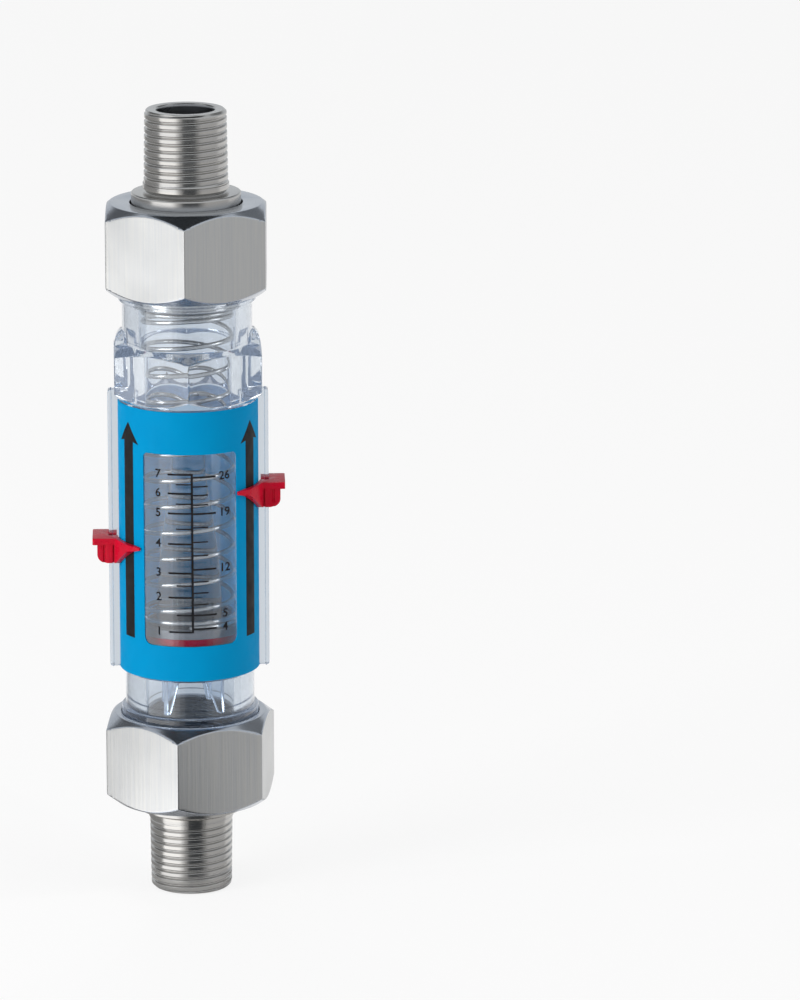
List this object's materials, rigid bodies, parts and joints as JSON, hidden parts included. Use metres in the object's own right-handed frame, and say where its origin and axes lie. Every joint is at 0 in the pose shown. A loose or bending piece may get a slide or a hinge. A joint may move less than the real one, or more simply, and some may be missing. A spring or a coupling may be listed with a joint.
{
  "type": "rotameter",
  "caption": "In-line variable-area flow meter: clear body, tapered cone, spring-loaded piston with a red band, sliding red pointers, and a steel union with a male pipe thread at each end.",
  "frame": {"origin": "centre of the inlet thread's end face, at the bottom", "axes": "+Z along the pipe axis in the direction of flow; the scale faces -Y; +X to the viewer's right"},
  "size_m": [0.0488, 0.0462, 0.202],
  "materials": {
    "clear_plastic": "clear",
    "clear_insert": "clear",
    "label_print": "satin",
    "nut_steel": "brushed",
    "turned_steel": "turned",
    "spring_steel": "drawn",
    "seal_rubber": "satin",
    "piston_plastic": "satin",
    "red_plastic": "satin"
  },
  "bodies": {
    "meter": {"body": "clear_plastic", "front_label": "label_print", "back_label": "label_print", "inlet_union_nut": "nut_steel", "outlet_union_nut": "nut_steel", "inlet_connector": "turned_steel", "outlet_connector": "turned_steel", "inlet_seal": "seal_rubber", "outlet_seal": "seal_rubber", "metering_cone": "clear_insert", "spring_seat": "spring_steel", "retaining_ring": "spring_steel", "return_spring": "spring_steel"},
    "piston_assembly": {"piston": "piston_plastic", "indicator_ring": "red_plastic"},
    "min_pointer": {"min_pointer": "red_plastic"},
    "max_pointer": {"max_pointer": "red_plastic"}
  },
  "joints": [
    {"name": "piston_slide", "type": "slide", "parent": "meter", "child": "piston_assembly", "axis": [0, 0, 1], "range_m": [0, 0.0448], "stiffness_N_per_m": 140, "springref_m": -0.013, "deforming": ["return_spring"]},
    {"name": "min_pointer_slide", "type": "slide", "parent": "meter", "child": "min_pointer", "axis": [0, 0, 1], "range_m": [-0.0273, 0.0352]},
    {"name": "max_pointer_slide", "type": "slide", "parent": "meter", "child": "max_pointer", "axis": [0, 0, 1], "range_m": [-0.0416, 0.021]}
  ]
}
